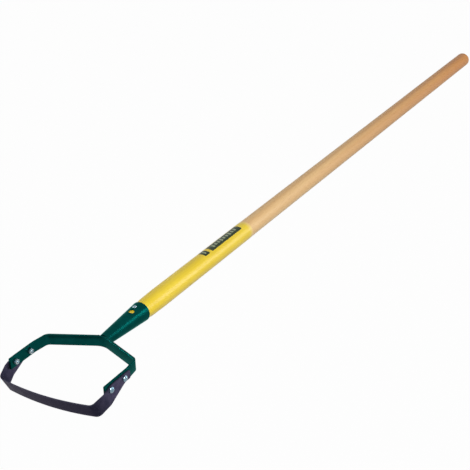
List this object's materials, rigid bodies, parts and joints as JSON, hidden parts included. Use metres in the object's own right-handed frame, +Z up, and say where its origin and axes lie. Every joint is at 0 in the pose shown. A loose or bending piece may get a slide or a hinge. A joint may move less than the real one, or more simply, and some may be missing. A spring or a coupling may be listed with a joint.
{
  "type": "dutch hoe",
  "caption": "Long-handled push-pull hoe: a folded stirrup blade swings a little on bolts in a flat-strip fork welded to a conical socket on a wooden shaft.",
  "frame": {"origin": "middle of the hoe's length and width, on the floor that it lies on", "axes": "+Y along the handle from the head to the butt, +Z up from the floor, +X across the head"},
  "size_m": [0.1564, 1.4836, 0.0438],
  "materials": {
    "wood": "satin varnish",
    "yellow_plastic": "semi-gloss",
    "green_paint": "semi-gloss",
    "blade_steel": "blued and ground",
    "zinc": "bright zinc plate",
    "nylon": "matt"
  },
  "bodies": {
    "handle": {"wood_shaft": "wood", "shaft_sleeve": "yellow_plastic", "socket": "green_paint", "frame_strip": "green_paint", "weld_left": "green_paint", "weld_right": "green_paint", "socket_nail": "zinc", "pivot_bolt_left": "zinc", "pivot_bolt_right": "zinc", "pivot_nut_left": "zinc", "pivot_nut_right": "zinc", "pivot_lock_ring_left": "nylon", "pivot_lock_ring_right": "nylon"},
    "stirrup": {"blade": "blade_steel", "stop_bolt_left": "zinc", "stop_bolt_right": "zinc", "stop_nut_left": "zinc", "stop_nut_right": "zinc", "stop_lock_ring_left": "nylon", "stop_lock_ring_right": "nylon"}
  },
  "joints": [
    {"name": "blade_swing", "type": "hinge", "parent": "handle", "child": "stirrup", "pos_m": [0, -0.70416, 0.03104], "axis": [1, 0, 0], "range_deg": [-5.5, 5.5]}
  ]
}
